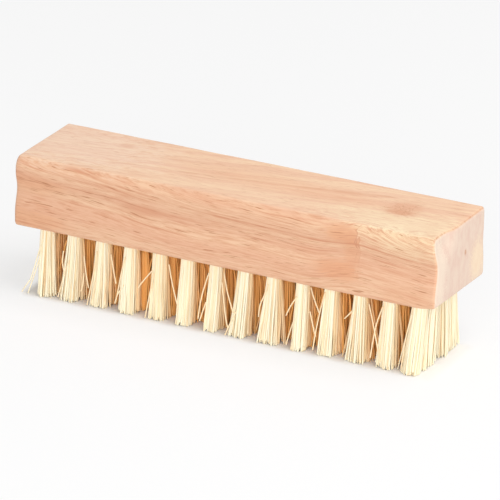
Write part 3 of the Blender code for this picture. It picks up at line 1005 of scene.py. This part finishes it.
class MakeTufts(bpy.types.Operator):
    """Make the fibre tufts, one piece for each row"""

    bl_idname = "nail_brush.make_tufts"
    bl_label = "Make Tufts"

    def execute(self, context):
        # How far the tips of a row lean out, how much that varies, and how much further inner tips reach
        row_lean, lean_scatter, inner_reach = 0.0016, 0.0003, 0.001
        # Behind the front row, in mm: the shift of a tuft, and the inward shift and half spread at the ends
        shift, end_shift, end_half = 0.4, 0.5, 2.0
        tufts = context.scene.nail_brush_tufts
        rows, mouths = hole_mouths(), every_mouth()
        outermost = (*(max(mouth[axis] for mouth in mouths) + tufts.bundle_radius for axis in (0, 1)), 0.0)
        strays = guide_object("stray_fibres", *stray_points())
        finish, tree = tampico(tufts), None
        for row_number, (row, holes) in enumerate(sorted(rows.items()), 1):
            piece = guide_object(f"fibre_tufts_{row}", list(holes.values()))
            rng = random.Random(row_number)
            leans, spreads, facings = [], [], []
            outward = {1: -1.0, len(rows): 1.0}.get(row_number, 0.0)
            for column, (along, half) in enumerate(FRONT_TUFTS, 1):
                endward = {1: -1.0, len(FRONT_TUFTS): 1.0}.get(column, 0.0)
                if row_number > 1:
                    along, half = along + rng.uniform(-shift, shift), tufts.reach_along * 1000
                    if endward:
                        along, half = -endward * end_shift, end_half
                # All rows lean out, and the inner ones spread to fill the room behind the outer ones
                across = math.copysign(row_lean, row_number - (1 + len(rows)) / 2)
                leans += [along / 1000, across + rng.uniform(-lean_scatter, lean_scatter), 0.0]
                spreads += [half / 1000, tufts.reach_across + (0 if outward else inner_reach), 0.0]
                facings += list(Vector((endward, outward, 0.0)).normalized())
            for name, vectors in (("lean", leans), ("spread", spreads), ("facing", facings)):
                piece.data.attributes.new(name, "FLOAT_VECTOR", "POINT").data.foreach_set("vector", vectors)
            values = {
                "Fibres": tufts.fibres,
                "Fibre Radius": tufts.fibre_radius,
                "Bundle Radius": tufts.bundle_radius,
                "Fold Height": tufts.fold_height,
                "Length": mouth_height - TIP_CLEARANCE,
                "Raggedness": tufts.raggedness,
                "Clumping": tufts.clumping,
                "Wave": tufts.wave,
                "Crowding": tufts.crowding,
                "Flare": tufts.flare if outward else tufts.inner_flare,
                "Strays": tufts.strays,
                "Anchor Turn": context.scene.nail_brush_anchors.turn,
                "Outermost": outermost,
                "Stray Lines": strays if row_number == 1 else None,
                "Seed": 10 * row_number,
                "Material": finish,
            }
            # One tree serves all rows. It is made with the values of the first, which lack none
            tree = tree or tuft_tree(values)
            apply_tree(piece, tree, values)
            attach(piece, "root")
            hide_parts(*holes)
        bpy.data.objects.remove(strays)
        return {"FINISHED"}


class MakeAnchors(bpy.types.Operator):
    """Make the wire anchors that hold the tufts in their holes"""

    bl_idname = "nail_brush.make_anchors"
    bl_label = "Make Anchors"

    def execute(self, context):
        scene = context.scene
        anchors, block, tufts = scene.nail_brush_anchors, scene.nail_brush_block, scene.nail_brush_tufts
        piece = guide_object("wire_anchors", every_mouth())
        values = {
            "Reach": block.hole_diameter / 2 + anchors.bite,
            "Wire Height": anchors.height,
            "Wire Thickness": anchors.thickness,
            "Lift": tufts.fold_height - anchors.height / 2,
            "Turn": anchors.turn,
            "Material": anchor_metal(anchors),
        }
        apply_tree(piece, anchor_tree(values), values)
        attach(piece, "root")
        return {"FINISHED"}


class SetStudio(bpy.types.Operator):
    """Lay the floor, and set the lamps and the camera"""

    bl_idname = "nail_brush.set_studio"
    bl_label = "Set Studio"

    def execute(self, context):
        scene = context.scene
        studio = scene.nail_brush_studio
        mesh = bpy.data.meshes.new("studio_floor")
        corners = [(x * FLOOR_REACH, y * FLOOR_REACH, 0) for x, y in ((-1, -1), (1, -1), (1, 1), (-1, 1))]
        mesh.from_pydata(corners, [], [(0, 1, 2, 3)])
        mesh.materials.append(floor_paint(studio))
        floor = bpy.data.objects.new("studio_floor", mesh)
        scene.collection.objects.link(floor)
        scene.world = studio_light(studio)

        hang_softbox("key_lamp", studio.key, (0.45, -0.05, 0.95))
        hang_softbox("front_lamp", studio.front, (0.35, -1.15, 0.3))
        hang_softbox("end_lamp", studio.end, (1.05, -0.35, 0.4))

        camera = bpy.data.objects.new("studio_camera", bpy.data.cameras.new("studio_camera"))
        camera.matrix_world = camera_matrix()
        camera.data.lens = CAMERA_LENS
        camera.data.clip_start, camera.data.clip_end = 0.05, 10
        scene.collection.objects.link(camera)
        scene.camera = camera
        scene.view_settings.view_transform = "Standard"
        return {"FINISHED"}


class NailBrushPanel(bpy.types.Panel):
    """Sizes, colours and steps of the nail brush"""

    bl_idname = "VIEW3D_PT_nail_brush"
    bl_label = "Nail Brush"
    bl_space_type = "VIEW_3D"
    bl_region_type = "UI"
    bl_category = "Nail Brush"

    def draw(self, context):
        for part, _settings, step in PARTS:
            box = self.layout.box()
            settings = getattr(context.scene, "nail_brush_" + part)
            for name in settings.__annotations__:
                box.prop(settings, name)
            box.operator(step.bl_idname)


PARTS = (
    ("block", BlockSettings, MakeBlock),
    ("tufts", TuftSettings, MakeTufts),
    ("anchors", AnchorSettings, MakeAnchors),
    ("studio", StudioSettings, SetStudio),
)


def register():
    for part, settings, step in PARTS:
        bpy.utils.register_class(settings)
        bpy.utils.register_class(step)
        setattr(bpy.types.Scene, "nail_brush_" + part, bpy.props.PointerProperty(type=settings))
    bpy.utils.register_class(NailBrushPanel)


def unregister():
    bpy.utils.unregister_class(NailBrushPanel)
    for part, settings, step in reversed(PARTS):
        delattr(bpy.types.Scene, "nail_brush_" + part)
        bpy.utils.unregister_class(step)
        bpy.utils.unregister_class(settings)


def main():
    register()
    bpy.ops.nail_brush.make_block()
    bpy.ops.nail_brush.make_tufts()
    bpy.ops.nail_brush.make_anchors()
    bpy.ops.nail_brush.set_studio()


if __name__ == "__main__":
    main()
